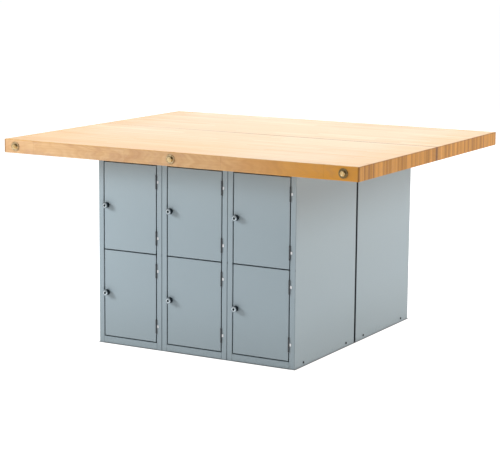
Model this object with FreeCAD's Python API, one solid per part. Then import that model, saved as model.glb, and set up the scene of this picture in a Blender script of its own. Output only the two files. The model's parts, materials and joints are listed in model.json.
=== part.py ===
import FreeCAD, Part
import math
import os

os.makedirs("parts", exist_ok=True)

# Workbench with lockers: a laminated wood top in two slabs, drawn together by tie rods, on two
# sheet steel locker cabinets that stand back to back, each three columns wide and two doors high.
# Millimetres. +X runs to the right along the front, +Y to the rear, +Z up. The origin is on the
# floor under the middle of the top.

# Worktop
TOP_LENGTH = 1625.6
TOP_DEPTH = 1371.6
TOP_THICKNESS = 57.15
TOP_EDGE_RADIUS = 2.5
SEAM_BEHIND_MIDDLE = 34.0
SEAM_CHAMFER = 0.6

# Tie rods, washers and nuts that clamp the two slabs of the top
ROD_RADIUS = 6.35
ROD_BORE_CLEARANCE = 0.6
ROD_END_INSET = 60.0
ROD_SHIFT = -5.0
ROD_PAST_NUT = 1.0
WASHER_RADIUS = 19.0
WASHER_THICKNESS = 2.5
SPOT_FACE_CLEARANCE = 1.0
SPOT_FACE_DEPTH = 0.5
ROD_NUT_FLATS = 19.0
ROD_NUT_HEIGHT = 7.0
ROD_NUT_FACE_INSET = 0.4
ROD_NUT_CHAMFER_ANGLE = 30.0
THREAD_CLEARANCE = 0.05

# Locker cabinets
CABINETS = ("front", "rear")
COLUMNS = ("left", "middle", "right")
ROWS = ("upper", "lower")
COLUMN_WIDTH = 307.0
CABINET_HEIGHT = 787.4
CABINET_DEPTH = 533.4
BACK_GAP = 12.7
BASE_SHIFT = 17.0
SHEET = 1.2
BEND_RADIUS = 1.8
STILE_WIDTH = 24.4
BOTTOM_RAIL_HEIGHT = 28.7
TOP_RAIL_HEIGHT = 22.3
FRAME_DEPTH = 20.0
BACK_FLANGE = 14.0
TOP_PAN_FLANGE = 9.0
PAN_EDGE_RADIUS = 1.5
SHELF_MARGIN = 0.5

# Doors and their rubber bumpers
DOOR_GAP = 3.8
DOOR_EDGE_RADIUS = 2.0
BUMPER_RADIUS = 3.5
BUMPER_THICKNESS = 1.8
BUMPER_PLAY = 0.2
BUMPER_INSET = 40.0

# Five-knuckle hinges
HINGE_LENGTH = 56.0
HINGE_INSET = 66.0
HINGE_PROUD = 1.0
KNUCKLE_COUNT = 5
KNUCKLE_WALL = 1.25
KNUCKLE_GAP = 0.3
PIN_RADIUS = 2.0
PIN_CLEARANCE = 0.05
PIN_HEAD_WALL = 0.9
PIN_HEAD_HEIGHT = 1.2
LEAF_PLAY = 0.6
LEAF_SHORTFALL = 4.0
NOTCH_CLEARANCE = 0.5
LUG_REACH = 11.5
LUG_ROUNDING = 2.5

# Keyed turn latches
KNOB_RADIUS = 12.5
KNOB_REACH = 19.0
KNOB_INSET = 12.5
KNOB_ABOVE_MIDDLE = 2.5
KNOB_ROUNDING = 0.8
KEY_PLUG_RADIUS = 5.5
KEY_PLUG_SINK = 0.6
KEYWAY_WIDTH = 2.0
KEYWAY_HEIGHT = 7.0
KEYWAY_DEPTH = 7.0
SPINDLE_RADIUS = 3.5
SPINDLE_CLEARANCE = 0.05
LIP_CLEARANCE = 1.5
BUSH_WALL = 2.0
BUSH_FLANGE_WALL = 3.0
BUSH_FLANGE_THICKNESS = 1.2
BUSH_LENGTH = 8.0
BUSH_HOLE_CLEARANCE = 0.2
BUSH_NUT_FLATS = 15.0
BUSH_NUT_HEIGHT = 3.0
LATCH_PLAY = 0.2
CLIP_WALL = 2.5
CLIP_THICKNESS = 1.0
CLIP_GROOVE = 0.5
CAM_OVERLAP = 10.0
CAM_CLEARANCE = 0.6
CAM_THICKNESS = 2.0
CAM_HALF_WIDTH = 7.0
CAM_STUD_RADIUS = 2.5
CAM_NUT_FLATS = 8.0
CAM_NUT_HEIGHT = 4.0
CAM_STUD_PAST_NUT = 1.0

# Screws from the top pans into the worktop
TOP_SCREW_SIDE_INSET = 40.0
TOP_SCREW_END_INSET = 80.0
TOP_SCREW_RADIUS = 3.0
TOP_SCREW_BITE = 32.0
TOP_SCREW_POINT = 6.0
TOP_SCREW_FLATS = 11.0
TOP_SCREW_HEAD = 5.0
TOP_SCREW_FLANGE_RADIUS = 7.5
TOP_SCREW_FLANGE = 1.2
PILOT_CLEARANCE = 0.05
PILOT_SPARE_DEPTH = 2.0

# Bolts near the floor that hold sides, floor pans and neighbouring columns together
FOOT_BOLT_HEIGHT = 15.0
FOOT_BOLT_INSET = 76.0
FOOT_BOLT_RADIUS = 3.0
FOOT_BOLT_CLEARANCE = 0.25
FOOT_BOLT_HEAD_RADIUS = 4.5
FOOT_BOLT_HEAD_HEIGHT = 2.6
FOOT_BOLT_PAST_NUT = 1.5
FOOT_NUT_FLATS = 10.0
FOOT_NUT_HEIGHT = 5.0

# Sizes and places that follow from those above
FRONT_FACE_Y = -(BACK_GAP / 2 + CABINET_DEPTH)
BASE_LEFT = BASE_SHIFT - COLUMN_WIDTH * len(COLUMNS) / 2
TOP_HEIGHT = CABINET_HEIGHT + TOP_THICKNESS
ROD_HEIGHT = CABINET_HEIGHT + TOP_THICKNESS / 2
ROD_PLACES = [ROD_SHIFT + side * (TOP_LENGTH / 2 - ROD_END_INSET) for side in (-1, 0, 1)]
SPOT_FACE_RADIUS = WASHER_RADIUS + SPOT_FACE_CLEARANCE
WASHER_SEAT_Y = TOP_DEPTH / 2 - SPOT_FACE_DEPTH
PAN_BACK = CABINET_DEPTH - BACK_FLANGE
DOORWAY_TOP = CABINET_HEIGHT - TOP_RAIL_HEIGHT
MIDDLE_HEIGHT = (BOTTOM_RAIL_HEIGHT + DOORWAY_TOP) / 2
DOOR_LEFT = STILE_WIDTH + DOOR_GAP
DOOR_RIGHT = COLUMN_WIDTH - STILE_WIDTH - DOOR_GAP
DOOR_DEPTH = FRAME_DEPTH - BUMPER_THICKNESS - BUMPER_PLAY
DOOR_HEIGHT = MIDDLE_HEIGHT - DOOR_GAP / 2 - BOTTOM_RAIL_HEIGHT - DOOR_GAP
DOOR_LIP = KNOB_INSET - SPINDLE_RADIUS - LIP_CLEARANCE
DOOR_BOTTOM = {"upper": MIDDLE_HEIGHT + DOOR_GAP / 2, "lower": BOTTOM_RAIL_HEIGHT + DOOR_GAP}
LIP_MIDDLE = DOOR_GAP / 2 + DOOR_LIP / 2
SHELF_REACH = DOOR_GAP / 2 + DOOR_LIP + SHELF_MARGIN
HINGE_ACROSS = COLUMN_WIDTH - STILE_WIDTH - DOOR_GAP / 2
HINGE_PLACES = (HINGE_INSET, DOOR_HEIGHT - HINGE_INSET)
BORE_RADIUS = PIN_RADIUS + PIN_CLEARANCE
KNUCKLE_RADIUS = BORE_RADIUS + KNUCKLE_WALL
KNUCKLE_PITCH = HINGE_LENGTH / KNUCKLE_COUNT
PIN_HEAD_RADIUS = PIN_RADIUS + PIN_HEAD_WALL
LEAF_DEPTH = DOOR_DEPTH - LEAF_SHORTFALL
LATCH_ACROSS = DOOR_LEFT + KNOB_INSET
LATCH_HEIGHT = DOOR_HEIGHT / 2 + KNOB_ABOVE_MIDDLE
BUSH_BORE = SPINDLE_RADIUS + SPINDLE_CLEARANCE
BUSH_RADIUS = BUSH_BORE + BUSH_WALL
BUSH_HOLE = BUSH_RADIUS + BUSH_HOLE_CLEARANCE
CAM_FRONT = FRAME_DEPTH + CAM_CLEARANCE
CAM_REACH = KNOB_INSET + DOOR_GAP + CAM_OVERLAP
CAM_STUD_END = CAM_FRONT + CAM_THICKNESS + CAM_NUT_HEIGHT + CAM_STUD_PAST_NUT
TOP_SCREW_ACROSS = (TOP_SCREW_SIDE_INSET, COLUMN_WIDTH - TOP_SCREW_SIDE_INSET)
TOP_SCREW_DEEP = (TOP_SCREW_END_INSET, CABINET_DEPTH - TOP_SCREW_END_INSET)
FOOT_BOLT_DEEP = (FOOT_BOLT_INSET, CABINET_DEPTH - FOOT_BOLT_INSET)
OUTER_GRIP = 2 * SHEET
SEAM_GRIP = 4 * SHEET

ORIGIN = FreeCAD.Vector(0, 0, 0)
ALONG_X = FreeCAD.Vector(1, 0, 0)
ALONG_Y = FreeCAD.Vector(0, 1, 0)
ALONG_Z = FreeCAD.Vector(0, 0, 1)
NEARLY_ZERO = 1e-6


# Shapes that many pieces use

def box(low, high):
    """A block between two opposite corners."""
    size = FreeCAD.Vector(*high) - FreeCAD.Vector(*low)
    return Part.makeBox(size.x, size.y, size.z, FreeCAD.Vector(*low))


def rod(radius, start, end, axis=ALONG_Z):
    """A cylinder about an axis through the origin, from start to end along it."""
    return Part.makeCylinder(radius, end - start, axis * start, axis)


def hexagon(across_flats, start, end):
    """A six-sided bar on Z from start to end."""
    corner = across_flats / math.sqrt(3)
    turns = [math.radians(60 * step) for step in range(7)]
    points = [FreeCAD.Vector(corner * math.cos(turn), corner * math.sin(turn), start) for turn in turns]
    return Part.Face(Part.makePolygon(points)).extrude(ALONG_Z * (end - start))


def joined(solids):
    """Overlapping solids made into one, without the seams between their flush faces."""
    return solids[0].fuse(solids[1:]).removeSplitter()


def moved(shape, x, y, z):
    """A copy of a shape, shifted."""
    copy = shape.copy()
    copy.translate(FreeCAD.Vector(x, y, z))
    return copy


def turned(shape, axis, degrees):
    """A copy of a shape, turned about an axis through the origin."""
    copy = shape.copy()
    copy.rotate(ORIGIN, axis, degrees)
    return copy


def facing_front(shape):
    """A copy of a shape modelled on +Z, turned so that its +Z points into the cabinet along +Y."""
    return turned(shape, ALONG_X, -90)


def edges_on(shape, on_edge):
    """The edges whose two ends both pass the test."""
    return [edge for edge in shape.Edges if all(on_edge(end.Point) for end in edge.Vertexes)]


def rounded_prism(corners, height):
    """A prism on an outline of (x, y, radius) corners, each rounded by its radius."""
    entries = []
    exits = []
    edges = []
    for index, (x, y, radius) in enumerate(corners):
        here = FreeCAD.Vector(x, y, 0)
        last_x, last_y, _ = corners[index - 1]
        next_x, next_y, _ = corners[(index + 1) % len(corners)]
        to_last = (FreeCAD.Vector(last_x, last_y, 0) - here).normalize()
        to_next = (FreeCAD.Vector(next_x, next_y, 0) - here).normalize()
        half_angle = to_last.getAngle(to_next) / 2
        cut_back = radius / math.tan(half_angle)
        entries.append(here + to_last * cut_back)
        exits.append(here + to_next * cut_back)
        if radius > 0:
            inward = (to_last + to_next).normalize()
            middle = here + inward * (radius / math.sin(half_angle) - radius)
            edges.append(Part.Arc(entries[-1], middle, exits[-1]).toShape())
    for index, leave in enumerate(exits):
        arrive = entries[(index + 1) % len(corners)]
        if leave.distanceToPoint(arrive) > NEARLY_ZERO:
            edges.append(Part.makeLine(leave, arrive))
    outline = Part.Wire(Part.__sortEdges__(edges))
    return Part.Face(outline).extrude(ALONG_Z * height)


def bent_sheet(path, length):
    """A sheet bent at right angles, path being its outer face with the metal on the left of it."""
    outer = []
    inner = []
    for index, (x, y) in enumerate(path):
        offset_x = 0.0
        offset_y = 0.0
        for start, end in ((index - 1, index), (index, index + 1)):
            if start < 0 or end >= len(path):
                continue
            run_x = path[end][0] - path[start][0]
            run_y = path[end][1] - path[start][1]
            run = math.hypot(run_x, run_y)
            offset_x -= SHEET * run_y / run
            offset_y += SHEET * run_x / run
        at_end = index in (0, len(path) - 1)
        outer.append((x, y, 0.0 if at_end else BEND_RADIUS + SHEET))
        inner.append((x + offset_x, y + offset_y, 0.0 if at_end else BEND_RADIUS))
    return rounded_prism(outer + inner[::-1], length)


def open_pan(low, high):
    """A sheet pan, open below, with its four upper edges rounded."""
    outer = box(low, high)
    upper_edges = edges_on(outer, lambda point: abs(point.z - high[2]) < NEARLY_ZERO)
    outer = outer.makeFillet(PAN_EDGE_RADIUS, upper_edges)
    inner_low = (low[0] + SHEET, low[1] + SHEET, low[2] - SHEET)
    inner_high = (high[0] - SHEET, high[1] - SHEET, high[2] - SHEET)
    return outer.cut(box(inner_low, inner_high))


# Worktop pieces, placed in the bench

def plain_top_slab(outer_edge):
    """The slab between one long edge of the top and the seam, eased all round, before it is drilled."""
    def on_seam(point):
        return abs(point.y - SEAM_BEHIND_MIDDLE) < NEARLY_ZERO

    half = TOP_LENGTH / 2
    front, rear = sorted((outer_edge, SEAM_BEHIND_MIDDLE))
    block = box((-half, front, CABINET_HEIGHT), (half, rear, TOP_HEIGHT))
    eased = [edge for edge in block.Edges if not all(on_seam(end.Point) for end in edge.Vertexes)]
    block = block.makeFillet(TOP_EDGE_RADIUS, eased)
    return block.makeChamfer(SEAM_CHAMFER, edges_on(block, on_seam))


def rod_drilling():
    """All that is drilled for the tie rods: bores right through, and a spot face at each end."""
    half = TOP_DEPTH / 2
    bore = rod(ROD_RADIUS + ROD_BORE_CLEARANCE, -half, half, ALONG_Y)
    front_seat = rod(SPOT_FACE_RADIUS, -half, -WASHER_SEAT_Y, ALONG_Y)
    rear_seat = rod(SPOT_FACE_RADIUS, WASHER_SEAT_Y, half, ALONG_Y)
    return [
        moved(cutter, place, 0, ROD_HEIGHT)
        for place in ROD_PLACES
        for cutter in (bore, front_seat, rear_seat)
    ]


def top_slab(outer_edge, pilot_holes):
    """One slab of the top, with the tie rod bores and the screws' pilot holes."""
    return plain_top_slab(outer_edge).cut(rod_drilling() + pilot_holes)


def tie_rods():
    reach = WASHER_SEAT_Y + WASHER_THICKNESS + ROD_NUT_HEIGHT + ROD_PAST_NUT
    bar = rod(ROD_RADIUS, -reach, reach, ALONG_Y)
    return [moved(bar, place, 0, ROD_HEIGHT) for place in ROD_PLACES]


def at_both_rod_ends(piece):
    """Copies of a piece modelled on +Z from the washer's seat outwards, at each end of each rod."""
    to_rear = moved(turned(piece, ALONG_X, -90), 0, WASHER_SEAT_Y, 0)
    to_front = turned(to_rear, ALONG_Z, 180)
    return [moved(end, place, 0, ROD_HEIGHT) for place in ROD_PLACES for end in (to_front, to_rear)]


def rod_washers():
    hole = rod(ROD_RADIUS + ROD_BORE_CLEARANCE, 0, WASHER_THICKNESS)
    return at_both_rod_ends(rod(WASHER_RADIUS, 0, WASHER_THICKNESS).cut(hole))


def rod_nuts():
    """Hexagon nuts, their outer corners turned off to a round face."""
    end = WASHER_THICKNESS + ROD_NUT_HEIGHT
    face = ROD_NUT_FLATS / 2 - ROD_NUT_FACE_INSET
    foot = face + ROD_NUT_HEIGHT / math.tan(math.radians(ROD_NUT_CHAMFER_ANGLE))
    cone = Part.makeCone(foot, face, ROD_NUT_HEIGHT, FreeCAD.Vector(0, 0, WASHER_THICKNESS))
    nut = hexagon(ROD_NUT_FLATS, WASHER_THICKNESS, end).common(cone)
    return at_both_rod_ends(nut.cut(rod(ROD_RADIUS + THREAD_CLEARANCE, WASHER_THICKNESS, end)))


# Pieces of one locker column: across from its left side, deep from its front face, up from the floor

def hinge_notch():
    """The room that a hinge takes out of the door and the stile beside it."""
    half = HINGE_LENGTH / 2 + PIN_HEAD_HEIGHT + NOTCH_CLEARANCE
    cutter = rod(KNUCKLE_RADIUS + NOTCH_CLEARANCE, -half, half)
    return moved(cutter, HINGE_ACROSS, -HINGE_PROUD, 0)


def foot_bolt_holes(across):
    """Holes for the two bolts near the floor, through what stands between two places across."""
    start, end = across
    hole = rod(FOOT_BOLT_RADIUS + FOOT_BOLT_CLEARANCE, start, end, ALONG_X)
    return [moved(hole, 0, deep, FOOT_BOLT_HEIGHT) for deep in FOOT_BOLT_DEEP]


def side_panels():
    """The left and right sides of a column, each one sheet bent into side, stile and jamb."""
    path = (
        (0.0, CABINET_DEPTH),
        (0.0, 0.0),
        (STILE_WIDTH, 0.0),
        (STILE_WIDTH, FRAME_DEPTH),
    )
    plain = bent_sheet(path, CABINET_HEIGHT)
    left = plain.cut(foot_bolt_holes((0, SHEET)))
    right = left.mirror(FreeCAD.Vector(COLUMN_WIDTH / 2, 0, 0), ALONG_X)
    notches = [
        moved(hinge_notch(), 0, 0, DOOR_BOTTOM[row] + place)
        for row in ROWS
        for place in HINGE_PLACES
    ]
    return [left, right.cut(notches)]


def back_panel():
    """The back of a column, its two edges bent rearwards against the sides."""
    path = (
        (SHEET, CABINET_DEPTH),
        (SHEET, PAN_BACK),
        (COLUMN_WIDTH - SHEET, PAN_BACK),
        (COLUMN_WIDTH - SHEET, CABINET_DEPTH),
    )
    return bent_sheet(path, CABINET_HEIGHT)


def rail(bottom, top):
    """A channel between the two stiles, its face reaching from one height to another."""
    path = ((FRAME_DEPTH, top), (0.0, top), (0.0, bottom), (FRAME_DEPTH, bottom))
    channel = bent_sheet(path, COLUMN_WIDTH - 2 * STILE_WIDTH)
    lying = turned(channel, FreeCAD.Vector(1, 1, 1), 120)
    return moved(lying, STILE_WIDTH, 0, 0)


def pan_between(bottom, top):
    """A pan that fills a column's plan behind the frame, between two heights."""
    return open_pan((SHEET, FRAME_DEPTH, bottom), (COLUMN_WIDTH - SHEET, PAN_BACK, top))


def floor_pan():
    left_holes = foot_bolt_holes((SHEET, 2 * SHEET))
    right_holes = foot_bolt_holes((COLUMN_WIDTH - 2 * SHEET, COLUMN_WIDTH - SHEET))
    return pan_between(0.0, BOTTOM_RAIL_HEIGHT).cut(left_holes + right_holes)


def at_top_screws(shape):
    """Copies of a shape at the four screws of a column's top pan."""
    return [moved(shape, across, deep, 0) for across in TOP_SCREW_ACROSS for deep in TOP_SCREW_DEEP]


def top_pan():
    """The cover of a column, whose deck lies against the underside of the worktop."""
    hole = rod(TOP_SCREW_RADIUS + PILOT_CLEARANCE, CABINET_HEIGHT - SHEET, CABINET_HEIGHT)
    return pan_between(CABINET_HEIGHT - TOP_PAN_FLANGE, CABINET_HEIGHT).cut(at_top_screws(hole))


def shelf():
    """The shelf that parts the upper locker from the lower, with its front flange behind both doors."""
    return pan_between(MIDDLE_HEIGHT - SHELF_REACH, MIDDLE_HEIGHT + SHELF_REACH)


def top_screw():
    """A flanged hex screw, driven up through the top pan into the worktop."""
    seat = CABINET_HEIGHT - SHEET
    flange_bottom = seat - TOP_SCREW_FLANGE
    point_start = CABINET_HEIGHT + TOP_SCREW_BITE - TOP_SCREW_POINT
    point = Part.makeCone(TOP_SCREW_RADIUS, 0, TOP_SCREW_POINT, ALONG_Z * point_start)
    return joined([
        rod(TOP_SCREW_RADIUS, flange_bottom, point_start),
        point,
        rod(TOP_SCREW_FLANGE_RADIUS, flange_bottom, seat),
        hexagon(TOP_SCREW_FLATS, flange_bottom - TOP_SCREW_HEAD, flange_bottom),
    ])


def pilot_hole():
    depth = CABINET_HEIGHT + TOP_SCREW_BITE + PILOT_SPARE_DEPTH
    return rod(TOP_SCREW_RADIUS + PILOT_CLEARANCE, CABINET_HEIGHT, depth)


def foot_bolt(grip):
    """A bolt and its nut on +X, with the head's seat at the origin and the nut beyond the grip."""
    nut_end = grip + FOOT_NUT_HEIGHT
    head = rod(FOOT_BOLT_HEAD_RADIUS, -FOOT_BOLT_HEAD_HEIGHT, 0, ALONG_X)
    crown = edges_on(head, lambda point: abs(point.x + FOOT_BOLT_HEAD_HEIGHT) < NEARLY_ZERO)
    head = head.makeFillet(FOOT_BOLT_HEAD_HEIGHT / 2, crown)
    bolt = joined([head, rod(FOOT_BOLT_RADIUS, 0, nut_end + FOOT_BOLT_PAST_NUT, ALONG_X)])
    nut = turned(hexagon(FOOT_NUT_FLATS, grip, nut_end), ALONG_Y, 90)
    nut = nut.cut(rod(FOOT_BOLT_RADIUS + THREAD_CLEARANCE, grip, nut_end, ALONG_X))
    return bolt, nut


def foot_fasteners(column):
    """The foot bolts and nuts of a column: its outer side's if it is an end one, and its right seam's."""
    outer_bolt, outer_nut = foot_bolt(OUTER_GRIP)
    seam_bolt, seam_nut = foot_bolt(SEAM_GRIP)
    placed = []
    if column == 0:
        placed.append((0.0, outer_bolt, outer_nut))
    if column == len(COLUMNS) - 1:
        from_right = [turned(piece, ALONG_Z, 180) for piece in (outer_bolt, outer_nut)]
        placed.append((COLUMN_WIDTH, *from_right))
    else:
        placed.append((COLUMN_WIDTH - OUTER_GRIP, seam_bolt, seam_nut))
    bolts = []
    nuts = []
    for across, bolt, nut in placed:
        for deep in FOOT_BOLT_DEEP:
            bolts.append(moved(bolt, across, deep, FOOT_BOLT_HEIGHT))
            nuts.append(moved(nut, across, deep, FOOT_BOLT_HEIGHT))
    return bolts, nuts


def door_bumpers():
    """Rubber buttons on the shelf's front flange, just behind the lips of the doors above and below."""
    button = rod(BUMPER_RADIUS, DOOR_DEPTH + BUMPER_PLAY, FRAME_DEPTH, ALONG_Y)
    return [
        moved(button, across, 0, MIDDLE_HEIGHT + rise)
        for across in (DOOR_LEFT + BUMPER_INSET, DOOR_RIGHT - BUMPER_INSET)
        for rise in (LIP_MIDDLE, -LIP_MIDDLE)
    ]


# Pieces of one door: across and deep as in its column, up from the door's lower edge

def door_panel():
    """A door folded from sheet into a shallow pan, its edges returned behind as lips."""
    outer = box((DOOR_LEFT, 0, 0), (DOOR_RIGHT, DOOR_DEPTH, DOOR_HEIGHT))
    front_edges = edges_on(outer, lambda point: abs(point.y) < NEARLY_ZERO)
    outer = outer.makeFillet(DOOR_EDGE_RADIUS, front_edges)
    hollow = box(
        (DOOR_LEFT + SHEET, SHEET, SHEET),
        (DOOR_RIGHT - SHEET, DOOR_DEPTH - SHEET, DOOR_HEIGHT - SHEET),
    )
    mouth = box(
        (DOOR_LEFT + DOOR_LIP, DOOR_DEPTH - SHEET, DOOR_LIP),
        (DOOR_RIGHT - DOOR_LIP, DOOR_DEPTH, DOOR_HEIGHT - DOOR_LIP),
    )
    bush_hole = moved(rod(BUSH_HOLE, 0, SHEET, ALONG_Y), LATCH_ACROSS, 0, LATCH_HEIGHT)
    notches = [moved(hinge_notch(), 0, 0, place) for place in HINGE_PLACES]
    return outer.cut([hollow, mouth, bush_hole] + notches)


def knuckle_span(number):
    """The bottom and top of one knuckle, measured from the hinge's middle."""
    bottom = -HINGE_LENGTH / 2 + number * KNUCKLE_PITCH
    first = number == 0
    last = number == KNUCKLE_COUNT - 1
    low = bottom if first else bottom + KNUCKLE_GAP / 2
    high = bottom + KNUCKLE_PITCH if last else bottom + KNUCKLE_PITCH - KNUCKLE_GAP / 2
    return low, high


def stile_lug():
    """The tab on the jamb leaf's middle knuckle that lies on the stile's face."""
    low, high = knuckle_span(KNUCKLE_COUNT // 2)
    corners = (
        (0.0, low, 0.0),
        (LUG_REACH, low, LUG_ROUNDING),
        (LUG_REACH, high, LUG_ROUNDING),
        (0.0, high, 0.0),
    )
    tab = turned(rounded_prism(corners, HINGE_PROUD), ALONG_X, 90)
    return moved(tab, 0, HINGE_PROUD, 0)


def hinge_leaf(side, knuckles, extras=()):
    """A leaf and its knuckles about the pin on Z: side -1 is the door's leaf, +1 the jamb's."""
    near, far = sorted((side * LEAF_PLAY / 2, side * DOOR_GAP / 2))
    half = HINGE_LENGTH / 2
    sweep = KNUCKLE_RADIUS + KNUCKLE_GAP
    plate = box((near, 0, -half), (far, HINGE_PROUD + LEAF_DEPTH, half)).cut(rod(sweep, -half, half))
    pieces = [plate, *extras]
    for number in knuckles:
        low, high = knuckle_span(number)
        pieces.append(rod(KNUCKLE_RADIUS, low, high))
        pieces.append(box((near, 0, low), (far, sweep + SHEET, high)))
    return joined(pieces).cut(rod(BORE_RADIUS, -half, half))


def hinge_pin():
    half = HINGE_LENGTH / 2
    head = rod(PIN_HEAD_RADIUS, half, half + PIN_HEAD_HEIGHT)
    crown = edges_on(head, lambda point: abs(point.z - half - PIN_HEAD_HEIGHT) < NEARLY_ZERO)
    head = head.makeFillet(PIN_HEAD_HEIGHT / 2, crown)
    return joined([rod(PIN_RADIUS, -half, half), head, turned(head, ALONG_X, 180)])


def at_hinges(piece):
    """Copies of a hinge piece at a door's two hinges."""
    return [moved(piece, HINGE_ACROSS, -HINGE_PROUD, place) for place in HINGE_PLACES]


def latch_bush():
    """The flanged bush that the latch turns in, and the nut that holds it to the door."""
    sleeve = joined([
        rod(BUSH_RADIUS, -BUSH_FLANGE_THICKNESS, BUSH_LENGTH),
        rod(BUSH_RADIUS + BUSH_FLANGE_WALL, -BUSH_FLANGE_THICKNESS, 0),
    ])
    sleeve = sleeve.cut(rod(BUSH_BORE, -BUSH_FLANGE_THICKNESS, BUSH_LENGTH))
    nut_end = SHEET + BUSH_NUT_HEIGHT
    nut = hexagon(BUSH_NUT_FLATS, SHEET, nut_end)
    nut = nut.cut(rod(BUSH_RADIUS + THREAD_CLEARANCE, SHEET, nut_end))
    return [sleeve, nut]


def latch_knob():
    """The knob with its keyway, and the spindle that carries the clip and the cam."""
    back = -(BUSH_FLANGE_THICKNESS + LATCH_PLAY)
    head = rod(KNOB_RADIUS, -KNOB_REACH, back)
    rim = edges_on(head, lambda point: abs(point.z + KNOB_REACH) < NEARLY_ZERO)
    head = head.makeFillet(KNOB_ROUNDING, rim)
    plug_face = -KNOB_REACH + KEY_PLUG_SINK
    keyway = box(
        (-KEYWAY_WIDTH / 2, -KEYWAY_HEIGHT / 2, plug_face),
        (KEYWAY_WIDTH / 2, KEYWAY_HEIGHT / 2, plug_face + KEYWAY_DEPTH),
    )
    head = head.cut([rod(KEY_PLUG_RADIUS, -KNOB_REACH, plug_face), keyway])
    spindle = rod(SPINDLE_RADIUS, back, CAM_FRONT)
    groove_start = BUSH_LENGTH + LATCH_PLAY
    groove_end = groove_start + CLIP_THICKNESS
    groove = rod(SPINDLE_RADIUS, groove_start, groove_end)
    core = rod(SPINDLE_RADIUS - CLIP_GROOVE, groove_start, groove_end)
    stud = rod(CAM_STUD_RADIUS, CAM_FRONT, CAM_STUD_END)
    return joined([head, spindle.cut(groove), core, stud])


def latch_clip():
    """The open ring that keeps the spindle in its bush."""
    start = BUSH_LENGTH + LATCH_PLAY
    end = start + CLIP_THICKNESS
    inner = SPINDLE_RADIUS - CLIP_GROOVE + THREAD_CLEARANCE
    ring = rod(SPINDLE_RADIUS + CLIP_WALL, start, end).cut(rod(inner, start, end))
    opening = box((-inner / 2, 0, start), (inner / 2, SPINDLE_RADIUS + CLIP_WALL, end))
    return ring.cut(opening)


def latch_cam():
    """The cam plate, which hangs down at rest and reaches behind the stile when it is turned."""
    end = CAM_FRONT + CAM_THICKNESS
    tip = CAM_REACH - CAM_HALF_WIDTH
    plate = joined([
        rod(CAM_HALF_WIDTH, CAM_FRONT, end),
        moved(rod(CAM_HALF_WIDTH, CAM_FRONT, end), 0, tip, 0),
        box((-CAM_HALF_WIDTH, 0, CAM_FRONT), (CAM_HALF_WIDTH, tip, end)),
    ])
    return plate.cut(rod(CAM_STUD_RADIUS + THREAD_CLEARANCE, CAM_FRONT, end))


def cam_nut():
    start = CAM_FRONT + CAM_THICKNESS
    end = start + CAM_NUT_HEIGHT
    return hexagon(CAM_NUT_FLATS, start, end).cut(rod(CAM_STUD_RADIUS + THREAD_CLEARANCE, start, end))


def at_latch(pieces):
    """Pieces modelled on +Z from the door's face, set at the door's latch and pointing inwards."""
    return [moved(facing_front(piece), LATCH_ACROSS, 0, LATCH_HEIGHT) for piece in pieces]


# The bench put together

def in_cabinet(cabinet, column, shapes, height=0.0):
    """Column shapes moved to their column, the rear cabinet being the front one turned about."""
    placed = []
    for shape in shapes:
        copy = moved(shape, BASE_LEFT + column * COLUMN_WIDTH, FRONT_FACE_Y, height)
        if cabinet == "rear":
            copy.rotate(FreeCAD.Vector(BASE_SHIFT, 0, 0), ALONG_Z, 180)
        placed.append(copy)
    return placed


def column_pieces():
    """Every fixed piece of the cabinets, by node."""
    nodes = {}
    hinge_jamb_leaf = hinge_leaf(1, range(0, KNUCKLE_COUNT, 2), [stile_lug()])
    shared = {
        "top_screws": at_top_screws(top_screw()),
        "door_bumpers": door_bumpers(),
    }
    own = {
        "side_panels": side_panels(),
        "back_panels": [back_panel()],
        "rails": [rail(0.0, BOTTOM_RAIL_HEIGHT), rail(DOORWAY_TOP, CABINET_HEIGHT)],
        "floor_pans": [floor_pan()],
        "shelves": [shelf()],
        "top_pans": [top_pan()],
    }
    for cabinet in CABINETS:
        for column in range(len(COLUMNS)):
            bolts, nuts = foot_fasteners(column)
            fixed = {**shared, "foot_bolts": bolts, "foot_nuts": nuts}
            fixed.update({f"{cabinet}_{name}": shapes for name, shapes in own.items()})
            for name, shapes in fixed.items():
                nodes.setdefault(name, []).extend(in_cabinet(cabinet, column, shapes))
            for row in ROWS:
                bottom = DOOR_BOTTOM[row]
                leaves = in_cabinet(cabinet, column, at_hinges(hinge_jamb_leaf), bottom)
                nodes.setdefault("jamb_hinge_leaves", []).extend(leaves)
                pins = in_cabinet(cabinet, column, at_hinges(hinge_pin()), bottom)
                nodes.setdefault("hinge_pins", []).extend(pins)
    return nodes


def door_pieces():
    """Every door with its fittings and its latch, by node."""
    nodes = {}
    door_leaf = hinge_leaf(-1, range(1, KNUCKLE_COUNT, 2))
    pieces = {
        "door": [door_panel()],
        "door_fittings": at_hinges(door_leaf) + at_latch(latch_bush()),
        "latch": at_latch([latch_knob(), latch_clip(), latch_cam(), cam_nut()]),
    }
    for cabinet in CABINETS:
        for row in ROWS:
            for column, column_name in enumerate(COLUMNS):
                for piece, shapes in pieces.items():
                    name = f"{cabinet}_{row}_{column_name}_{piece}"
                    nodes[name] = in_cabinet(cabinet, column, shapes, DOOR_BOTTOM[row])
    return nodes


def worktop_pieces():
    """The worktop and what clamps its slabs together, by node."""
    pilot_holes = [
        hole
        for cabinet in CABINETS
        for column in range(len(COLUMNS))
        for hole in in_cabinet(cabinet, column, at_top_screws(pilot_hole()))
    ]
    return {
        "front_top_slab": [top_slab(-TOP_DEPTH / 2, pilot_holes)],
        "rear_top_slab": [top_slab(TOP_DEPTH / 2, pilot_holes)],
        "tie_rods": tie_rods(),
        "tie_rod_washers": rod_washers(),
        "tie_rod_nuts": rod_nuts(),
    }


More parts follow.
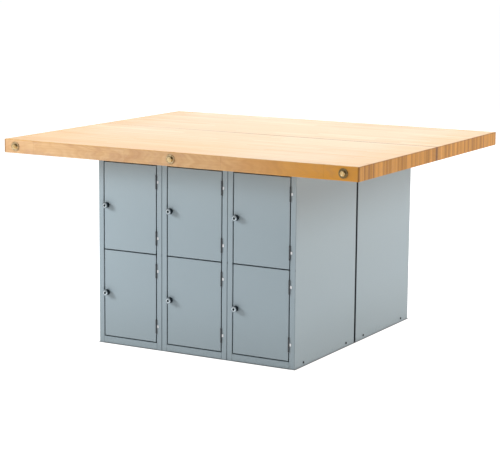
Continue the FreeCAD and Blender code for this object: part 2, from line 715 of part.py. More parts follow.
def write_parts(nodes):
    """One STEP file per node, each piece in it a closed solid of its own."""
    for name, shapes in nodes.items():
        solids = [solid for shape in shapes for solid in shape.Solids]
        whole = len(solids) == len(shapes)
        valid = all(solid.isValid() and solid.isClosed() for solid in solids)
        whole_shape = solids[0] if len(solids) == 1 else Part.makeCompound(solids)
        whole_shape.exportStep(f"parts/{name}.step")
        if not (whole and valid):
            print(name, "has", len(solids), "solids from", len(shapes), "pieces, valid:", valid)
    print(len(nodes), "nodes,", sum(len(shapes) for shapes in nodes.values()), "pieces")


write_parts({**worktop_pieces(), **column_pieces(), **door_pieces()})
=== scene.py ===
import json
import math

import bpy
from mathutils import Matrix, Vector


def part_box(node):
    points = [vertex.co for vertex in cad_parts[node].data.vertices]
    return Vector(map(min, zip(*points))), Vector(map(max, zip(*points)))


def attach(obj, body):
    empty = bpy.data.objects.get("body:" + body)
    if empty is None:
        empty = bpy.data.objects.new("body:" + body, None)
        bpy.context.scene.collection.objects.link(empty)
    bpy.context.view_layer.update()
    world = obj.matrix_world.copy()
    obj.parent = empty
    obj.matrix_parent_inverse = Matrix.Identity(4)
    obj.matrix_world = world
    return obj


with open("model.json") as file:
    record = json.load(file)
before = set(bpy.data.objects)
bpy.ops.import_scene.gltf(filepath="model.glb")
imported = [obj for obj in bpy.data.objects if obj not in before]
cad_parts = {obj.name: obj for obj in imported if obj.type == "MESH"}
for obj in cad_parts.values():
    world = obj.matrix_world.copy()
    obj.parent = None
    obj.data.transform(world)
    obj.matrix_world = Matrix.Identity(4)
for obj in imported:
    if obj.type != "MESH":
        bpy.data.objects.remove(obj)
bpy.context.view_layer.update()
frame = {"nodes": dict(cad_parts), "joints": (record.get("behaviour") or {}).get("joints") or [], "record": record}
nodes = frame["nodes"]
slot_of = {part["node"]: part["material_slot"] for part in frame["record"]["subparts"]}

# Below, lengths are in metres, colours are linear red, green, blue and alpha, and a noise's scale is how
# often it changes in a metre. A pair of numbers is where a smooth step starts and ends.

# Picture in pixels, sensor in millimetres, and the camera's place, with angles in degrees
PICTURE_WIDTH = 500
FOCAL_PIXELS = 1702.88
SENSOR_WIDTH = 36.0
CAMERA_PLACE = Vector((3.50004, -6.29048, 1.67427))
CAMERA_YAW = 29.3007
CAMERA_PITCH = 9.6657
CAMERA_ROLL = 0.4730
CAMERA_REACH = 200.0

# Floor and light
FLOOR_SIZE = 160.0
FLOOR_DROP = 0.0002
FLOOR_GLOW = 0.97
# Painted contact shadow: a thin dark line on the floor round the cabinets' foot
CONTACT_SHADOW_WIDTH = 0.008
CONTACT_SHADOW_GLOW = 0.04
FLOOR_GREY = (0.35, 0.35, 0.35, 1.0)
CONTACT_SHADOW_GREY = (0.05, 0.05, 0.05, 1.0)
BLACK = (0.0, 0.0, 0.0, 1.0)
WHITE = (1.0, 1.0, 1.0, 1.0)
ROOM_BRIGHTNESS = 0.12
KEY_PLACE = (-2.8, -2.2, 1.65)
KEY_TARGET = (-0.1, -0.5, 0.5)
KEY_SIZE = 1.0
COOL_LIGHT = (0.97, 0.985, 1.0)
WARM_LIGHT = (1.0, 0.985, 0.95)
WHITE_LIGHT = (1.0, 1.0, 1.0)

# Strips and staves of the laminated top
STRIP_WIDTH = 0.0425
STRIP_OFFSET = 0.02
STAVE_LENGTH = 0.36
STAVE_SPREAD = 0.6
STAVE_STAGGER = 9.0
GRAIN_SEEDS = {"front_top_slab": 1.0, "rear_top_slab": 2.0}
LEAN_SEED = 0.3
RISE_SEED = 0.6

# Grain of the wood
PITH_SPREAD = 0.17
PITH_DEPTH = 0.025
PITH_RANGE = 0.09
RING_WOBBLE = 0.012
WOBBLE_SCALE = (2.6, 22.0, 22.0)
WOBBLE_SHIFT = 40.0
RING_SCALE = 130.0
RING_SHIFT = 57.0
FINE_RING_SCALE = 520.0
FINE_RING_SHIFT = 91.0
FIBRE_SCALE = (11.0, 420.0, 420.0)
CURL_SCALE = (34.0, 6.0, 9.0)
CURL_BEND = 8.0
CURL_SHIFT = 30.0
MOTTLE_SCALE = (15.0, 30.0, 22.0)
BLUSH_SCALE = (6.0, 8.0, 8.0)
BLUSH_SHIFT = 3.0
FIGURE_STEP = (0.28, 0.72)
GRAIN_DEPTH = 0.00012

# Faces, corners and joints of the top
ARRIS = 0.0004
EDGE_START = 0.0030
END_GRAIN_DEPTH = 0.0022
# Painted shade on the edge faces next to the slab's corners
CORNER_SHADE_STEP = (0.0090, 0.0020)
# Darker rim along the top of the end grain
DARK_RIM_LOW = 0.0060
DARK_RIM_HIGH = 0.0020
GLUE_LINE = 0.0011
BUTT_LINE = 0.00165
END_JOINT = 0.0090
SEAM_LINE = 0.0100
# The seam's dark line is partly the joint and partly painted shade, fading towards the left
SEAM_SHADE_ACROSS = (-0.75, -0.05)
SEAM_SHADE_FAINTEST = 0.30

# Wood colours, where they lie and how strongly they show
TOP_EARLY_WOOD = (0.535, 0.380, 0.210, 1.0)
TOP_LATE_WOOD = (0.470, 0.305, 0.152, 1.0)
EDGE_EARLY_WOOD = (0.630, 0.412, 0.222, 1.0)
EDGE_LATE_WOOD = (0.555, 0.337, 0.165, 1.0)
DARK_STAVE = (0.500, 0.275, 0.110, 1.0)
DARK_STAVE_STEP = (0.35, 1.0)
DARK_STAVE_SHARE = 0.45
DARK_STAVE_EDGE_LOSS = 0.30
MOTTLE_BROWN = (0.46, 0.265, 0.150, 1.0)
MOTTLE_STEP = (0.40, 0.66)
MOTTLE_SHARE = 0.62
# Amber on the edges: its blush is the wood's own tone, its deepening towards the right is painted shade
AMBER_AND_SHADE = (0.585, 0.255, 0.030, 1.0)
AMBER_SHADE_ACROSS = (0.0, 0.75)
AMBER_BLUSH = 0.4
AMBER_END_LOSS = 0.065
CURL_BROWN = (0.41, 0.200, 0.070, 1.0)
CURL_STEP = (0.40, 0.70)
CURL_SHARE = 0.34
# Painted shade: a warmer, deeper tint on the top by its front left edge and both ends, where its reflections fade
PAINTED_SHADE_TINT = (1.0, 0.84, 0.50, 1.0)
SHADE_TINT_FROM_FRONT = (0.60, 0.10)
SHADE_TINT_ACROSS = (0.40, 0.0)
SHADE_TINT_FROM_END = (0.26, 0.02)
SHADE_TINT_SHARE = 0.75
END_TAN = (0.35, 0.138, 0.004, 1.0)
BROAD_STREAK_SCALE = 11.0
BROAD_STREAK_SHIFT = 5.0
BROAD_STREAK_STEP = (0.40, 0.60)
STREAK_SCALE = 38.0
STREAK_SHIFT = 31.0
STREAK_STEP = (0.42, 0.58)
LINE_BROWN = (0.17, 0.065, 0.012, 1.0)
END_JOINT_STEP = (0.35, 0.90)
GLUE_SHARE = 0.10
PARTING_SHARE = 0.45
BUTT_SHARE = 0.10
BUTT_EDGE_SHARE = 0.06
CORNER_SHADE_SHARE = 0.75
SEAM_AND_SHADE_SHARE = 0.90
DARK_RIM_SHARE = 0.45

# Locker enamel
ENAMEL_DEEP = (0.262, 0.322, 0.355, 1.0)
ENAMEL_PALE = (0.282, 0.346, 0.379, 1.0)
DRIFT_SCALE = (3.1, 3.1, 2.2)
PEEL_SCALE = 330.0
PEEL_DEPTH = 0.00003
# Dust and painted shade: the enamel darkens towards the floor
DUST_AND_SHADE_GREY = (0.16, 0.185, 0.185, 1.0)
DUST_AND_SHADE_HEIGHT = 0.26
DUST_AND_SHADE_SHARE = 0.28
SCUFF_GREY = (0.17, 0.19, 0.19, 1.0)
SCUFF_SCALE = 95.0
SCUFF_HEIGHT = 0.055
SCUFF_STEP = (0.50, 0.72)
SCUFF_SHARE = 0.30
# Painted shade: the backs that face the gap between the cabinets are coloured near black
BACK_GAP_SHADE = (0.035, 0.04, 0.045, 1.0)
BACK_GAP_SHADE_START = 0.0149
BACK_GAP_SHADE_END = 0.0143
BACK_GAP_SHADE_SHARE = 0.9
SIDE_SKIN = 0.0006

# Painted shade in the enamel's gaps and joints and at the rear edges; depths are counted from the cabinets' faces
GAP_SHADE_COLOUR = (0.011, 0.024, 0.034, 1.0)
GAP_SHADE_FRONT = (0.0014, 0.0040)
GAP_SHADE_BACK = (0.0130, 0.0090)
GAP_SHADE_SHARE = 0.85
COLUMN_JOINT_SHADE_STEP = (0.0030, 0.0008)
COLUMN_JOINT_SHADE_DEPTH = (0.0030, 0.0020)
COLUMN_JOINT_SHADE_SHARE = 0.5
LEDGE_SHADE_STEP = (0.0065, 0.0035)
LEDGE_SHADE_FRONT = (0.0, 0.0016)
LEDGE_SHADE_SHARE = 0.7
BACK_EDGE_SHADE_STEP = (0.0050, 0.0015)
BACK_EDGE_SHADE_SHARE = 0.7

# Metal and rubber
STAIN_SCALE = 60.0
STAIN_STEP = (0.35, 0.65)
ZINC_STAIN_SCALE = 140.0
DRAWN_LINE_SCALE = 900.0
PLATING_DEPTH = 0.00002
YELLOW_ZINC_BRIGHT = (0.80, 0.62, 0.34, 1.0)
YELLOW_ZINC_DULL = (0.62, 0.40, 0.16, 1.0)
ZINC_BRIGHT = (0.66, 0.67, 0.68, 1.0)
ZINC_DULL = (0.52, 0.53, 0.55, 1.0)
OXIDE_PALE = (0.055, 0.055, 0.06, 1.0)
OXIDE_DARK = (0.03, 0.03, 0.033, 1.0)
BEZEL_BRIGHT = (0.76, 0.84, 0.88, 1.0)
BEZEL_DULL = (0.62, 0.70, 0.74, 1.0)
WASHER_BRIGHT = (0.74, 0.57, 0.35, 1.0)
WASHER_DULL = (0.46, 0.32, 0.16, 1.0)
# Painted shade on the washers, darker towards the right
WASHER_SHADE = (0.13, 0.09, 0.03, 1.0)
WASHER_SHADE_ACROSS = (-0.3, 0.7)
WASHER_SHADE_SHARE = 0.8
HINGE_GREY = (0.10, 0.105, 0.11, 1.0)
HINGE_DARK = (0.055, 0.058, 0.062, 1.0)
HINGE_SCALE = 160.0
HINGE_DEPTH = 0.00003
# Painted highlight on the hinge tab that lies on each stile's face
TAB_HIGHLIGHT = (0.60, 0.61, 0.62, 1.0)
TAB_HIGHLIGHT_START = (0.0034, 0.0042)
TAB_HIGHLIGHT_END = (0.020, 0.016)
NICKEL_BRIGHT = (0.29, 0.34, 0.37, 1.0)
NICKEL_DULL = (0.21, 0.25, 0.28, 1.0)
# Painted shade on the knob's side
KNOB_SIDE_SHADE = (0.020, 0.034, 0.042, 1.0)
NICKEL_SCALE = 120.0
NICKEL_DEPTH = 0.00001
KNOB_SIDE_SHADE_START = 0.001
KNOB_SIDE_SHADE_END = 0.0006
KNOB_RIM = 0.0003
RUBBER_BLACK = (0.018, 0.018, 0.018, 1.0)
RUBBER_GREY = (0.04, 0.04, 0.04, 1.0)
RUBBER_SCALE = 700.0
RUBBER_DEPTH = 0.00005

# Crowned ring on the face of each latch's knob, with its angle in degrees
BEZEL_MIDDLE = 0.0069
BEZEL_WIDTH = 0.0034
BEZEL_CROWN = 0.0014
BEZEL_SEAT = 0.0003
BEZEL_STEPS_AROUND = 48
BEZEL_STEPS_ACROSS = 20
BEZEL_SMOOTH_ANGLE = 40

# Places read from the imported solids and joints
hinges = [joint for joint in frame["joints"] if joint["name"].endswith("_door_hinge")]
pins = {hinge["name"]: Vector(hinge["pos_m"]) for hinge in hinges}
COLUMN_PITCH = pins["front_upper_middle_door_hinge"].x - pins["front_upper_left_door_hinge"].x
FIRST_PIN = pins["front_upper_left_door_hinge"].x
BASE_MIDDLE = (FIRST_PIN + pins["rear_upper_left_door_hinge"].x) / 2
BASE_LOW, BASE_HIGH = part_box("front_side_panels")
CABINET_FACE = -BASE_LOW.y
CABINET_BACK = -BASE_HIGH.y
BASE_HALF_WIDTH = (BASE_HIGH.x - BASE_LOW.x) / 2
KNOB_FACE = -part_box("front_upper_left_latch")[0].y
DOORS_MEET = (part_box("front_upper_left_door")[0].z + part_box("front_lower_left_door")[1].z) / 2
SEAM_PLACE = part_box("front_top_slab")[1].y
TOP_HALF_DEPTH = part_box("rear_top_slab")[1].y


class Amount:
    """A number that changes over a surface: a node's output, with arithmetic that adds Math nodes."""

    def __init__(self, finish, socket):
        self.finish = finish
        self.socket = socket

    def __add__(self, other):
        return self.finish.maths("ADD", self, other)

    __radd__ = __add__

    def __sub__(self, other):
        return self.finish.maths("SUBTRACT", self, other)

    def __rsub__(self, other):
        return self.finish.maths("SUBTRACT", other, self)

    def __mul__(self, other):
        return self.finish.maths("MULTIPLY", self, other)

    __rmul__ = __mul__

    def __truediv__(self, other):
        return self.finish.maths("DIVIDE", self, other)

    def floor(self):
        return self.finish.maths("FLOOR", self)

    def size(self):
        return self.finish.maths("ABSOLUTE", self)

    def root(self):
        return self.finish.maths("SQRT", self)

    def between(self, start, end, low=0.0, high=1.0):
        """Low where this is at start or before, high at end or after, and a smooth step between."""
        step = self.finish.add(
            "MapRange",
            {"Value": self, "From Min": start, "From Max": end, "To Min": low, "To Max": high},
            interpolation_type="SMOOTHSTEP",
        )
        return Amount(self.finish, step.outputs["Result"])


class Finish:
    """One material, with the nodes that colour it, roughen it and raise its grain."""

    def __init__(self, name):
        self.material = bpy.data.materials.new(name)
        self.material.use_nodes = True
        self.tree = self.material.node_tree
        self.tree.nodes.clear()
        self.shader = self.add("BsdfPrincipled")
        self.add("OutputMaterial", {"Surface": self.shader.outputs["BSDF"]})

    def add(self, kind, sockets=None, **settings):
        """A node of a kind, with its settings set first and then its sockets' values or links."""
        node = self.tree.nodes.new("ShaderNode" + kind)
        for name, value in settings.items():
            setattr(node, name, value)
        for key, value in (sockets or {}).items():
            self.feed(node.inputs[key], value)
        return node

    def feed(self, socket, value):
        if isinstance(value, Amount):
            value = value.socket
        if isinstance(value, bpy.types.NodeSocket):
            self.tree.links.new(value, socket)
        else:
            socket.default_value = value

    def surface(self, **sockets):
        """Sets the shader's own sockets, named with underscores for spaces."""
        for name, value in sockets.items():
            self.feed(self.shader.inputs[name.replace("_", " ")], value)
        return self.material

    def maths(self, operation, *values):
        node = self.add("Math", dict(enumerate(values)), operation=operation)
        return Amount(self, node.outputs["Value"])

    def place(self):
        """The three object coordinates of a point."""
        coordinates = self.add("TexCoord").outputs["Object"]
        parts = self.add("SeparateXYZ", {"Vector": coordinates})
        return [Amount(self, parts.outputs[axis]) for axis in "XYZ"]

    def vector(self, x, y, z):
        return self.add("CombineXYZ", {"X": x, "Y": y, "Z": z}).outputs["Vector"]

    def chance(self, *indexes):
        """A random number that stays the same for the same whole indexes."""
        padded = list(indexes) + [0.0] * (3 - len(indexes))
        noise = self.add("TexWhiteNoise", {"Vector": self.vector(*padded)}, noise_dimensions="3D")
        return Amount(self, noise.outputs["Value"])

    def cloud(self, place, scale, shift=(0.0, 0.0, 0.0), detail=2.0):
        """Smooth noise at a place, with one scale or a scale for each axis, moved by a shift."""
        scales = scale if isinstance(scale, tuple) else (scale, scale, scale)
        scaled = [times * part for times, part in zip(scales, place)]
        shifted = [part + by if by else part for part, by in zip(scaled, shift)]
        sockets = {"Vector": self.vector(*shifted), "Scale": 1.0, "Detail": detail}
        return Amount(self, self.add("TexNoise", sockets, noise_dimensions="3D").outputs[0])

    def stripes(self, where, detail=1.0):
        """Smooth noise along one line."""
        sockets = {"W": where, "Scale": 1.0, "Detail": detail}
        return Amount(self, self.add("TexNoise", sockets, noise_dimensions="1D").outputs[0])

    def mixed(self, share, first, second, blend="MIX"):
        """First and second colour mixed by a share, as a colour socket."""
        node = self.add("Mix", {0: share, 6: first, 7: second}, data_type="RGBA", blend_type=blend)
        return node.outputs[2]

    def relief(self, height, depth):
        """A normal that follows a height, whose whole range is depth metres deep."""
        node = self.add("Bump", {"Height": height, "Distance": depth, "Strength": 1.0})
        return node.outputs["Normal"]


# Finishes

def joint_line(from_middle, width, length):
    """One at both ends of a strip or stave, fading over a width; from_middle is counted in lengths."""
    return (from_middle.size() * 2.0).between(1.0 - 2.0 * width / length, 1.0)


class MapleSlab:
    """One slab's finish: edge-glued strips along X, each of several staves with grain of its own."""

    def __init__(self, slab):
        self.finish = Finish(f"maple_of_{slab}")
        self.seed = GRAIN_SEEDS[slab]
        self.place = self.finish.place()
        self.low, self.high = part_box(slab)
        self.lay_staves()
        self.find_faces()
        self.find_joints()
        self.grow_grain()

    def lay_staves(self):
        """Where a point lies in its strip and its stave, and the random numbers of that stave."""
        finish = self.finish
        x, y = self.place[:2]
        across = (y - self.low.y) / STRIP_WIDTH + STRIP_OFFSET
        strip = across.floor()
        self.strip_chance = finish.chance(strip, self.seed)
        length = STAVE_LENGTH * (1.0 + STAVE_SPREAD * self.strip_chance)
        along = x / length + STAVE_STAGGER * self.strip_chance
        stave = along.floor()
        self.shade = finish.chance(strip, stave, self.seed)
        self.lean = finish.chance(strip, stave, self.seed + LEAN_SEED)
        self.rise = finish.chance(strip, stave, self.seed + RISE_SEED)
        self.in_strip = across - strip - 0.5
        self.in_stave = along - stave - 0.5

    def find_faces(self):
        """Shares that are one on the slab's edges, on its end grain, in the painted shade at its corners and on
        the darker rim along the top of its end grain.
        """
        x, y, z = self.place
        high = self.high
        self.from_end = high.x - x.size()
        from_corner = self.from_end + (TOP_HALF_DEPTH - y.size())
        self.edge = z.between(high.z - ARRIS, high.z - EDGE_START)
        self.end_grain = x.size().between(high.x - END_GRAIN_DEPTH, high.x - END_GRAIN_DEPTH / 3)
        # painted shade on the edge faces next to the corners
        self.corner_shade = self.edge * from_corner.between(*CORNER_SHADE_STEP)
        # darker along the top of the end grain
        self.dark_rim = self.end_grain * z.between(high.z - DARK_RIM_LOW, high.z - DARK_RIM_HIGH)

    def find_joints(self):
        """Shares that are one on glue lines, on butt joints and beside the seam between the slabs, whose dark line
        is partly painted shade.
        """
        x, y = self.place[:2]
        from_seam = (y - SEAM_PLACE).size()
        # the seam's dark line: partly the joint, partly painted shade fading towards the left
        self.seam_and_shade = from_seam.between(SEAM_LINE, SEAM_LINE / 2) * x.between(*SEAM_SHADE_ACROSS, SEAM_SHADE_FAINTEST)
        self.parting = from_seam.between(2.0 * SEAM_LINE, SEAM_LINE)
        self.glue = joint_line(self.in_strip, GLUE_LINE, STRIP_WIDTH)
        self.end_joint = joint_line(self.in_strip, END_JOINT, STRIP_WIDTH)
        self.butt = joint_line(self.in_stave, BUTT_LINE, STAVE_LENGTH)

    def grow_grain(self):
        """Growth rings round a pith of each stave's own, fibres along X, and curl, mottle and blush."""
        finish = self.finish
        shade = self.shade
        x = self.place[0]
        z = self.place[2]
        beside = self.in_strip * STRIP_WIDTH
        above = z - (self.low.z + self.high.z) / 2
        by_stave = (WOBBLE_SHIFT * shade, 0.0, 0.0)
        wobble = finish.cloud((x, beside, above), WOBBLE_SCALE, by_stave, detail=1.0)
        pith_side = beside - (self.lean - 0.5) * PITH_SPREAD
        pith_below = above + PITH_DEPTH + PITH_RANGE * self.rise
        radius = (pith_side * pith_side + pith_below * pith_below).root() + RING_WOBBLE * wobble
        rings = finish.stripes(RING_SCALE * radius + RING_SHIFT * shade, detail=2.0)
        self.fine_rings = finish.stripes(FINE_RING_SCALE * radius + FINE_RING_SHIFT * self.lean)
        self.fibre = finish.cloud(self.place, FIBRE_SCALE)
        self.curl = finish.cloud(self.place, CURL_SCALE, (CURL_BEND * wobble, 0.0, CURL_SHIFT * shade))
        self.mottle = finish.cloud(self.place, MOTTLE_SCALE, detail=3.0)
        self.blush = finish.cloud(self.place, BLUSH_SCALE, (BLUSH_SHIFT, 0.0, 0.0), detail=1.0)
        self.figure = (0.5 * rings + 0.2 * self.fine_rings + 0.3 * self.fibre).between(*FIGURE_STEP)

    def grain_colour(self):
        """Early and late wood, with some staves darker."""
        finish = self.finish
        early = finish.mixed(self.edge, TOP_EARLY_WOOD, EDGE_EARLY_WOOD)
        late = finish.mixed(self.edge, TOP_LATE_WOOD, EDGE_LATE_WOOD)
        wood = finish.mixed(self.figure, early, late)
        share = DARK_STAVE_SHARE - DARK_STAVE_EDGE_LOSS * self.edge
        return finish.mixed(self.shade.between(*DARK_STAVE_STEP) * share, wood, DARK_STAVE)

    def with_edges(self, wood):
        """The wood with mottle and curl on the slab's edges, and amber that is partly the wood's own blush and
        mostly painted shade deepening towards the right.
        """
        finish = self.finish
        edge = self.edge
        x = self.place[0]
        wood = finish.mixed(edge * self.mottle.between(*MOTTLE_STEP) * MOTTLE_SHARE, wood, MOTTLE_BROWN)
        # painted shade: the edges deepen to amber towards the right, varied by the wood's own blush
        amber_and_shade = x.between(*AMBER_SHADE_ACROSS) + AMBER_BLUSH * (self.blush - 0.5)
        wood = finish.mixed(edge * amber_and_shade * (1.0 - AMBER_END_LOSS * self.end_grain), wood, AMBER_AND_SHADE)
        return finish.mixed(edge * self.curl.between(*CURL_STEP) * CURL_SHARE, wood, CURL_BROWN)

    def with_painted_shade_tint(self, wood):
        """The wood with a warmer, deeper tint on the upper face by its front left edge and by both ends: painted
        shade where the top's reflections fade.
        """
        x, y = self.place[:2]
        # painted shade on the upper face, warmer by the front left edge and by both ends
        by_front = (y + TOP_HALF_DEPTH).between(*SHADE_TINT_FROM_FRONT) * x.between(*SHADE_TINT_ACROSS)
        by_ends = self.from_end.between(*SHADE_TINT_FROM_END)
        shade_tint = (by_front + by_ends) * (1.0 - self.edge)
        return self.finish.mixed(shade_tint * SHADE_TINT_SHARE, wood, PAINTED_SHADE_TINT, blend="MULTIPLY")

    def with_ends(self, wood):
        """The wood with tan streaks, broad and fine, on its end grain."""
        finish = self.finish
        y = self.place[1]
        broad = finish.stripes(BROAD_STREAK_SCALE * y + BROAD_STREAK_SHIFT).between(*BROAD_STREAK_STEP)
        streaks = finish.stripes(STREAK_SCALE * y + STREAK_SHIFT * self.shade, detail=4.0)
        tanned = 0.60 * self.shade + (0.35 + 0.60 * broad) * streaks.between(*STREAK_STEP)
        return finish.mixed(self.end_grain * tanned, wood, END_TAN)

    def with_lines(self, wood):
        """The wood with its glue lines, butt joints, seam and the rim along the top of its end grain darkened, and
        painted shade at its corners and along the seam.
        """
        stuck = 0.10 + 0.80 * self.strip_chance.between(*END_JOINT_STEP)
        end_lines = self.end_joint * stuck + PARTING_SHARE * self.parting
        lines = GLUE_SHARE * self.glue + self.end_grain * end_lines
        lines = lines + self.butt * (BUTT_SHARE + BUTT_EDGE_SHARE * self.edge)
        lines = lines + CORNER_SHADE_SHARE * self.corner_shade + self.seam_and_shade * SEAM_AND_SHADE_SHARE + self.dark_rim * DARK_RIM_SHARE
        return self.finish.mixed(lines, wood, LINE_BROWN)

    def material(self):
        wood = self.with_painted_shade_tint(self.with_edges(self.grain_colour()))
        wood = self.with_lines(self.with_ends(wood))
        grain = 0.5 * self.fibre + 0.3 * self.fine_rings - 0.6 * self.glue - 0.6 * self.butt
        return self.finish.surface(
            Base_Color=wood,
            Roughness=0.30 + 0.10 * self.figure + 0.14 * self.end_grain,
            IOR=1.36,
            Normal=self.finish.relief(grain, GRAIN_DEPTH),
        )


def enamel_gap_shade(x, y, z, inside):
    """The share of painted shade: in the doors' gaps, in the joints of the columns and at the rear edges."""
    depth = CABINET_FACE - y.size()
    in_gap = depth.between(*GAP_SHADE_BACK)
    from_joint = ((x - BASE_MIDDLE).size() - COLUMN_PITCH / 2).size()
    gaps = inside * depth.between(*GAP_SHADE_FRONT) * in_gap
    joints = from_joint.between(*COLUMN_JOINT_SHADE_STEP) * depth.between(*COLUMN_JOINT_SHADE_DEPTH)
    ledge = (z - DOORS_MEET).size().between(*LEDGE_SHADE_STEP) * depth.between(*LEDGE_SHADE_FRONT)
    back_edges = (y.size() - CABINET_BACK).between(*BACK_EDGE_SHADE_STEP)
    painted_gap_shade = gaps * GAP_SHADE_SHARE + joints * COLUMN_JOINT_SHADE_SHARE
    return painted_gap_shade + inside * ledge * in_gap * LEDGE_SHADE_SHARE + back_edges * BACK_EDGE_SHADE_SHARE


def locker_enamel():
    """Blue-grey baked enamel on sheet steel: faint orange peel and scuffs, with painted shade near the floor that
    is partly dust, in the gaps and joints, and on the backs in the gap between the cabinets.
    """
    finish = Finish("locker_enamel")
    place = finish.place()
    x, y, z = place
    peel = finish.cloud(place, PEEL_SCALE)
    drift = finish.cloud(place, DRIFT_SCALE, detail=3.0)
    speck = finish.cloud(place, SCUFF_SCALE, detail=4.0)
    # partly dust, partly painted shade: darker towards the floor
    dust_and_shade = z.between(DUST_AND_SHADE_HEIGHT, 0.0) * (0.6 + 0.4 * drift)
    scuffs = z.between(SCUFF_HEIGHT, 0.0) * speck.between(*SCUFF_STEP)
    inside = (x - BASE_MIDDLE).size().between(BASE_HALF_WIDTH, BASE_HALF_WIDTH - SIDE_SKIN)
    # painted shade on the backs in the gap between the cabinets
    back_gap_shade = inside * y.size().between(CABINET_BACK + BACK_GAP_SHADE_START, CABINET_BACK + BACK_GAP_SHADE_END)
    paint = finish.mixed(drift, ENAMEL_DEEP, ENAMEL_PALE)
    paint = finish.mixed(dust_and_shade * DUST_AND_SHADE_SHARE, paint, DUST_AND_SHADE_GREY)
    paint = finish.mixed(scuffs * SCUFF_SHARE, paint, SCUFF_GREY)
    # painted shade darkens the gaps, the joints and the rear edges
    paint = finish.mixed(enamel_gap_shade(x, y, z, inside), paint, GAP_SHADE_COLOUR)
    paint = finish.mixed(back_gap_shade * BACK_GAP_SHADE_SHARE, paint, BACK_GAP_SHADE)
    return finish.surface(
        Base_Color=paint,
        Roughness=0.36 + 0.12 * drift + 0.15 * scuffs,
        IOR=1.48,
        Normal=finish.relief(peel, PEEL_DEPTH),
    )


def plated_metal(name, bright, dull, roughness, stain_scale=STAIN_SCALE):
    """Plated steel, clouded between two colours, with fine drawn lines."""
    finish = Finish(name)
    place = finish.place()
    cloud = finish.cloud(place, stain_scale, detail=3.0)
    lines = finish.cloud(place, DRAWN_LINE_SCALE)
    return finish.surface(
        Base_Color=finish.mixed(cloud.between(*STAIN_STEP), bright, dull),
        Metallic=1.0,
        Roughness=roughness + 0.12 * lines,
        Normal=finish.relief(lines, PLATING_DEPTH),
    )


def zinc_with_painted_shade():
    """Yellow zinc with painted shade that darkens it towards the right, as on the wood round it."""
    finish = Finish("zinc_with_painted_shade")
    place = finish.place()
    cloud = finish.cloud(place, ZINC_STAIN_SCALE, detail=3.0)
    zinc = finish.mixed(cloud.between(*STAIN_STEP), WASHER_BRIGHT, WASHER_DULL)
    # painted shade: darker towards the right
    painted_shade = place[0].between(*WASHER_SHADE_ACROSS) * WASHER_SHADE_SHARE
    return finish.surface(
        Base_Color=finish.mixed(painted_shade, zinc, WASHER_SHADE),
        Metallic=1.0,
        Roughness=0.32 + 0.12 * cloud,
        Normal=finish.relief(cloud, PLATING_DEPTH),
    )


def hinge_steel():
    """Dark hinge steel, with the tab that lies on each stile's face painted bright as a highlight."""
    finish = Finish("hinge_steel")
    place = finish.place()
    x, y = place[:2]
    as_front = BASE_MIDDLE - finish.maths("SIGN", y) * (x - BASE_MIDDLE)
    past_pin = finish.maths("FLOORED_MODULO", as_front - FIRST_PIN, COLUMN_PITCH)
    # painted highlight on the tab
    tab_highlight = past_pin.between(*TAB_HIGHLIGHT_START) * past_pin.between(*TAB_HIGHLIGHT_END)
    cloud = finish.cloud(place, HINGE_SCALE, detail=3.0)
    steel = finish.mixed(cloud, HINGE_GREY, HINGE_DARK)
    return finish.surface(
        Base_Color=finish.mixed(tab_highlight, steel, TAB_HIGHLIGHT),
        Metallic=1.0,
        Roughness=0.42 - 0.08 * tab_highlight,
        Normal=finish.relief(cloud, HINGE_DEPTH),
    )


def latch_nickel():
    """Satin nickel latches, with painted shade on the knob's side and wherever else it lies behind its own face.
    """
    finish = Finish("latch_nickel")
    place = finish.place()
    out = place[1].size()
    # painted shade on the knob's side, behind its face
    off_door = out.between(CABINET_FACE, CABINET_FACE + KNOB_SIDE_SHADE_START)
    behind_rim = out.between(KNOB_FACE - KNOB_RIM, KNOB_FACE - KNOB_SIDE_SHADE_END)
    cloud = finish.cloud(place, NICKEL_SCALE, detail=3.0)
    nickel = finish.mixed(cloud, NICKEL_BRIGHT, NICKEL_DULL)
    return finish.surface(
        Base_Color=finish.mixed(off_door * behind_rim, nickel, KNOB_SIDE_SHADE),
        Metallic=1.0,
        Roughness=0.24 + 0.10 * cloud,
        Normal=finish.relief(cloud, NICKEL_DEPTH),
    )


def bumper_rubber():
    finish = Finish("bumper_rubber")
    speck = finish.cloud(finish.place(), RUBBER_SCALE, detail=3.0)
    return finish.surface(
        Base_Color=finish.mixed(speck, RUBBER_BLACK, RUBBER_GREY),
        Roughness=0.6 + 0.25 * speck,
        Normal=finish.relief(speck, RUBBER_DEPTH),
    )


def finish_nodes():
    """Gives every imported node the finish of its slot; the slabs and the washers have their own."""
    finishes = {
        "locker_paint": locker_enamel(),
        "yellow_zinc": plated_metal(
            "yellow_zinc", YELLOW_ZINC_BRIGHT, YELLOW_ZINC_DULL, roughness=0.22, stain_scale=ZINC_STAIN_SCALE
        ),
        "zinc_steel": plated_metal("zinc_steel", ZINC_BRIGHT, ZINC_DULL, roughness=0.30),
        "dark_bolts": plated_metal("dark_bolts", OXIDE_PALE, OXIDE_DARK, roughness=0.42),
        "hinge_steel": hinge_steel(),
        "latch_chrome": latch_nickel(),
        "bumper_rubber": bumper_rubber(),
    }
    own_finishes = {slab: MapleSlab(slab).material() for slab in GRAIN_SEEDS}
    own_finishes["tie_rod_washers"] = zinc_with_painted_shade()
    for name, node in nodes.items():
        made = own_finishes[name] if name in own_finishes else finishes[slot_of[name]]
        node.data.materials.clear()
        node.data.materials.append(made)


# New pieces

